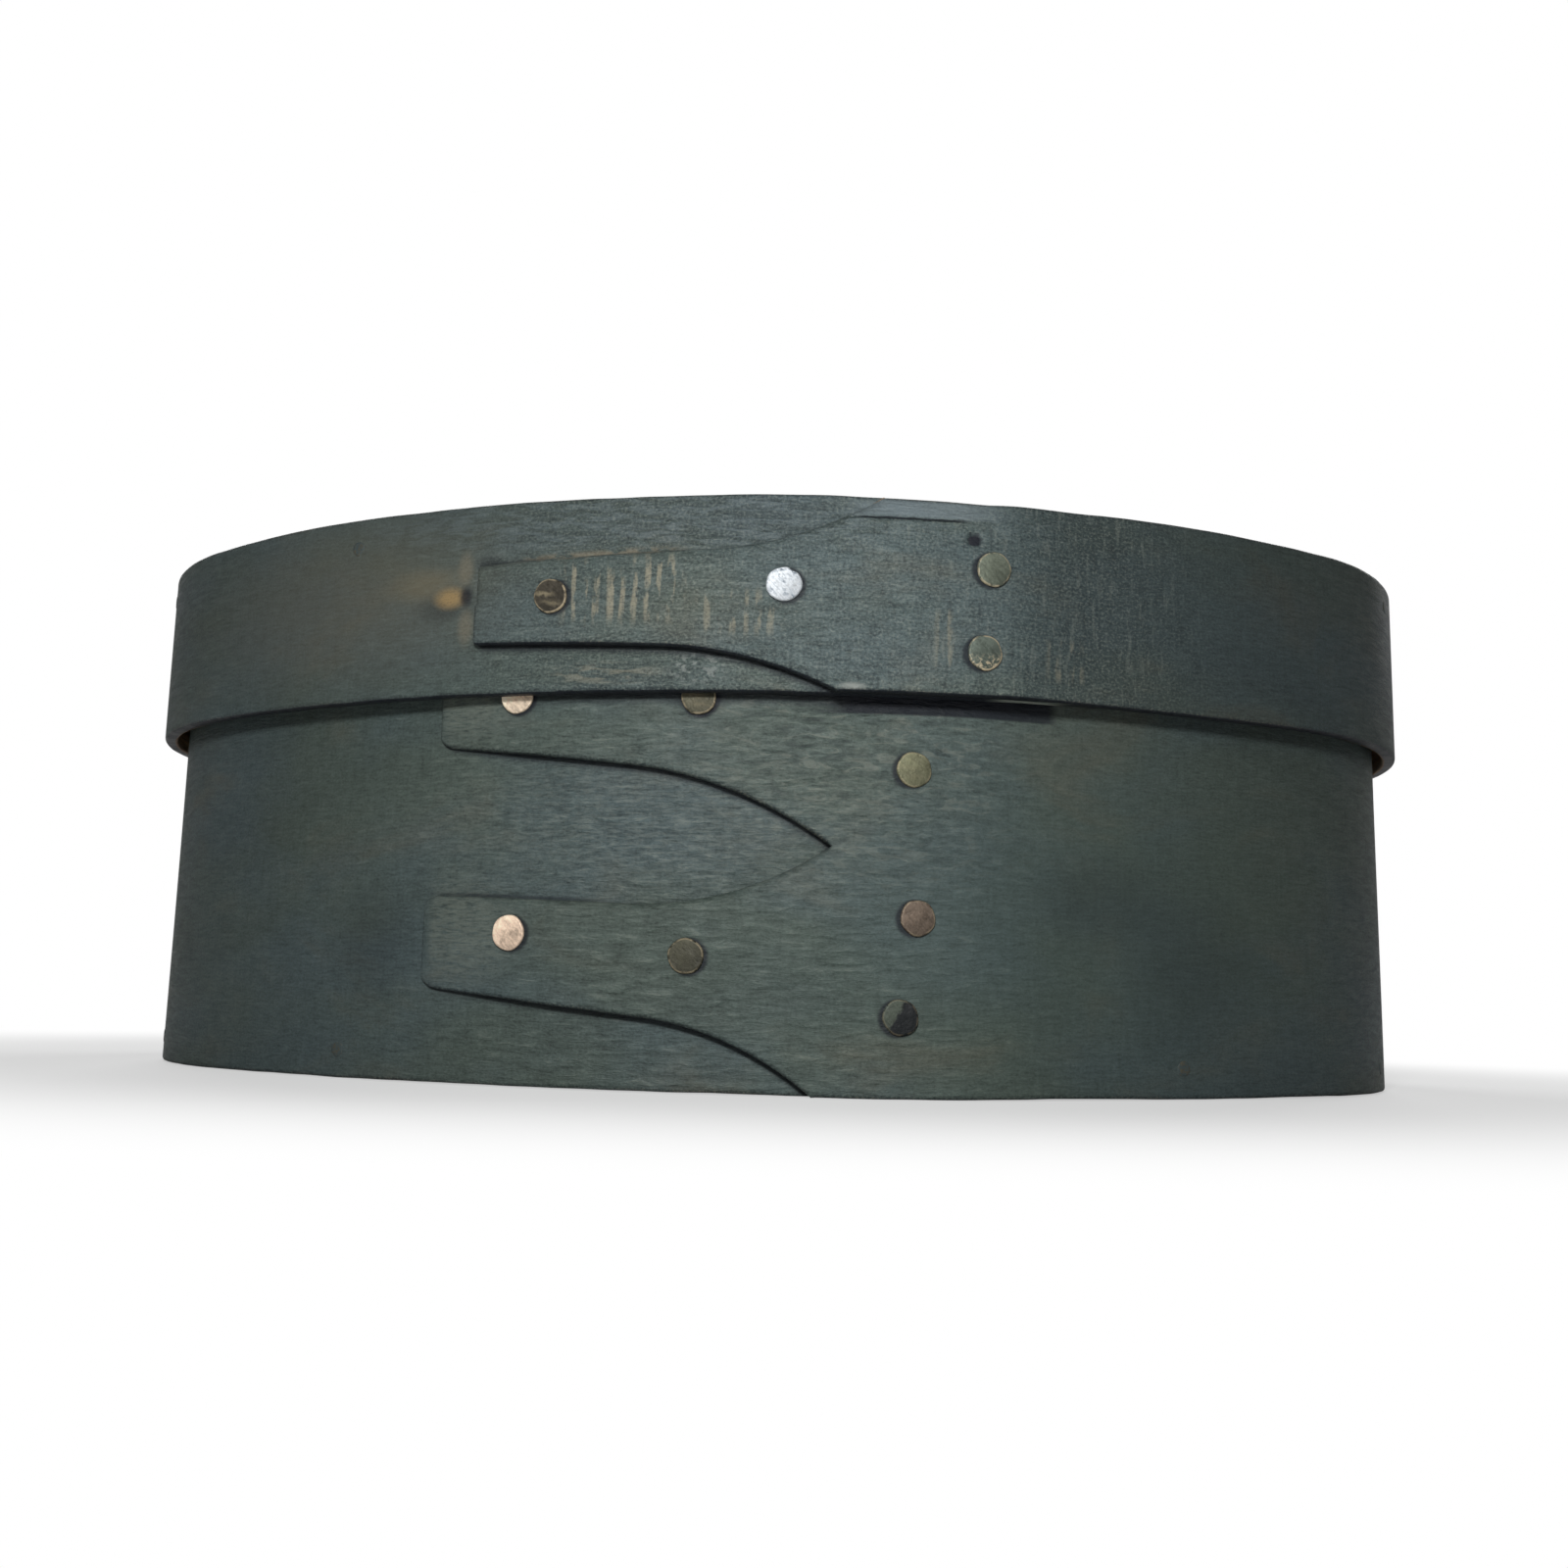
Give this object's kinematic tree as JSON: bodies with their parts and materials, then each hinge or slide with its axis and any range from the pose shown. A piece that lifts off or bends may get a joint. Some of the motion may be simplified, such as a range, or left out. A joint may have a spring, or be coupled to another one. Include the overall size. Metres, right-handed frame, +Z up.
{
  "type": "bentwood oval box with lid",
  "caption": "Low oval bentwood box with a lift-off lid, lapped bands with cut fingers, tacked laps and pegged boards, in worn blue-green paint.",
  "frame": {"origin": "middle of the body's oval, on the underside that the box rests on", "axes": "+X along the oval, -Y out of the front where the laps and fingers are, +Z up, the way the lid lifts off"},
  "size_m": [0.1584, 0.1019, 0.06],
  "materials": {
    "painted_band": "thin worn blue-green milk paint over maple, matt",
    "painted_board": "thin worn blue-green milk paint over pine, matt",
    "bare_pine": "aged bare pine, matt",
    "copper_tack": "tarnished hammered copper",
    "wood_peg": "end grain, painted over"
  },
  "bodies": {
    "box": {"body_band": "painted_band", "bottom_board": "bare_pine", "body_tack_1": "copper_tack", "body_tack_2": "copper_tack", "body_tack_3": "copper_tack", "body_tack_4": "copper_tack", "body_tack_5": "copper_tack", "body_tack_6": "copper_tack", "body_tack_7": "copper_tack", "body_tack_8": "copper_tack", "bottom_peg_1": "wood_peg", "bottom_peg_2": "wood_peg", "bottom_peg_3": "wood_peg", "bottom_peg_4": "wood_peg", "bottom_peg_5": "wood_peg", "bottom_peg_6": "wood_peg", "bottom_peg_7": "wood_peg", "bottom_peg_8": "wood_peg"},
    "lid": {"lid_band": "painted_band", "lid_board": "painted_board", "lid_tack_1": "copper_tack", "lid_tack_2": "copper_tack", "lid_tack_3": "copper_tack", "lid_tack_4": "copper_tack", "lid_peg_1": "wood_peg", "lid_peg_2": "wood_peg", "lid_peg_3": "wood_peg", "lid_peg_4": "wood_peg", "lid_peg_5": "wood_peg", "lid_peg_6": "wood_peg", "lid_peg_7": "wood_peg", "lid_peg_8": "wood_peg"}
  },
  "joints": [
    {"name": "lid_lift", "type": "slide", "parent": "box", "child": "lid", "axis": [0, 0, 1], "range_m": [0, 0.05]}
  ]
}
